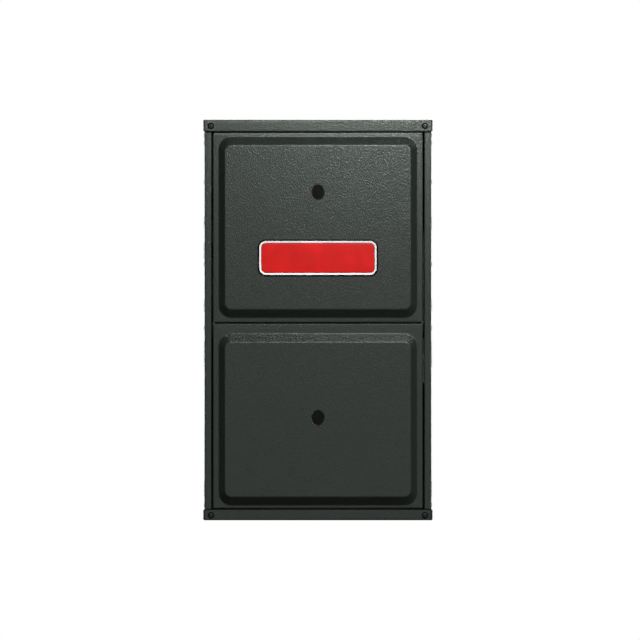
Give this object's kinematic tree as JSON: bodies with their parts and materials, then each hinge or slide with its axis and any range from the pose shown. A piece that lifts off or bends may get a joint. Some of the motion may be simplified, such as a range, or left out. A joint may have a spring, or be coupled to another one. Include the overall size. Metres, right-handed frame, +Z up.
{
  "type": "forced air gas furnace",
  "caption": "Upflow condensing gas furnace: steel cabinet with two embossed pull-off doors, oval sight glasses, a blank badge, and burner, exchanger, inducer and blower inside.",
  "frame": {"origin": "centre of the bounding box's bottom face, on the floor", "axes": "+Z up, -Y out of the doors, +X to the right seen from the front"},
  "size_m": [0.5018, 0.7286, 0.8763],
  "materials": {
    "cabinet_paint": "satin, fine orange peel",
    "screw_paint": "satin",
    "sight_glass": "smoked",
    "badge": "gloss",
    "galvanised": "spangled",
    "aluminised": "dull",
    "stainless": "brushed",
    "black_pipe": "mill black",
    "cast_aluminium": "cast",
    "motor_shell": "enamel",
    "shaft_steel": "ground",
    "black_plastic": "moulded",
    "red_plastic": "moulded",
    "white_plastic": "extruded",
    "rubber": "matt",
    "ceramic": "unglazed",
    "circuit_board": "solder mask",
    "transformer_core": "varnish"
  },
  "bodies": {
    "cabinet": {"cabinet_wrap": "cabinet_paint", "top_cap": "cabinet_paint", "bottom_cap": "cabinet_paint", "blower_deck": "galvanised", "vestibule_panel": "galvanised", "top_left_screw": "screw_paint", "top_right_screw": "screw_paint", "bottom_left_screw": "screw_paint", "bottom_right_screw": "screw_paint", "left_blower_rail": "galvanised", "right_blower_rail": "galvanised", "door_switch": "black_plastic", "junction_box": "galvanised", "exchanger_tube_1": "aluminised", "exchanger_tube_2": "aluminised", "exchanger_tube_3": "aluminised", "exchanger_tube_4": "aluminised", "rear_header": "aluminised", "front_collector": "black_plastic", "secondary_coil": "stainless", "burner_box": "galvanised", "burner_box_window": "sight_glass", "burner_1": "aluminised", "burner_2": "aluminised", "burner_3": "aluminised", "burner_4": "aluminised", "gas_manifold": "black_pipe", "gas_valve": "cast_aluminium", "gas_supply_pipe": "black_pipe", "igniter": "ceramic", "flame_sensor": "ceramic", "left_rollout_switch": "black_plastic", "right_rollout_switch": "black_plastic", "inducer_housing": "black_plastic", "inducer_motor": "motor_shell", "vent_pipe": "white_plastic", "vent_coupling": "rubber", "intake_pipe": "white_plastic", "pressure_switch": "black_plastic", "pressure_tube": "rubber", "condensate_trap": "white_plastic", "drain_hose": "rubber", "blower_housing": "galvanised", "blower_motor": "motor_shell", "motor_mount": "galvanised", "control_bracket": "galvanised", "control_board": "circuit_board", "transformer": "transformer_core"},
    "upper_door": {"upper_door": "cabinet_paint", "upper_sight_glass": "sight_glass", "badge_plate": "badge"},
    "lower_door": {"lower_door": "cabinet_paint", "lower_sight_glass": "sight_glass"},
    "blower_rotor": {"blower_wheel": "galvanised", "motor_shaft": "shaft_steel"},
    "inducer_rotor": {"inducer_wheel": "black_plastic"},
    "gas_knob": {"gas_knob": "red_plastic"},
    "door_plunger": {"door_switch_plunger": "red_plastic"},
    "left_reset": {"left_reset_button": "red_plastic"},
    "right_reset": {"right_reset_button": "red_plastic"}
  },
  "joints": [
    {"name": "upper_door_pull", "type": "slide", "parent": "cabinet", "child": "upper_door", "axis": [0, -1, 0], "range_m": [0, 0.3]},
    {"name": "lower_door_pull", "type": "slide", "parent": "cabinet", "child": "lower_door", "axis": [0, -1, 0], "range_m": [0, 0.3]},
    {"name": "blower_spin", "type": "hinge", "parent": "cabinet", "child": "blower_rotor", "pos_m": [0, 0.13, 0.2], "axis": [1, 0, 0], "continuous": true},
    {"name": "inducer_spin", "type": "hinge", "parent": "cabinet", "child": "inducer_rotor", "pos_m": [0, -0.2, 0.545], "axis": [0, 1, 0], "continuous": true},
    {"name": "gas_knob_turn", "type": "hinge", "parent": "cabinet", "child": "gas_knob", "pos_m": [-0.196, -0.329, 0.69], "axis": [0, 1, 0], "range_deg": [0, 90]},
    {"name": "door_plunger_press", "type": "slide", "parent": "cabinet", "child": "door_plunger", "axis": [0, 1, 0], "range_m": [0, 0.0025], "stiffness_N_per_m": 400},
    {"name": "left_reset_press", "type": "slide", "parent": "cabinet", "child": "left_reset", "axis": [0, 1, 0], "range_m": [0, 0.0015], "stiffness_N_per_m": 600},
    {"name": "right_reset_press", "type": "slide", "parent": "cabinet", "child": "right_reset", "axis": [0, 1, 0], "range_m": [0, 0.0015], "stiffness_N_per_m": 600}
  ]
}
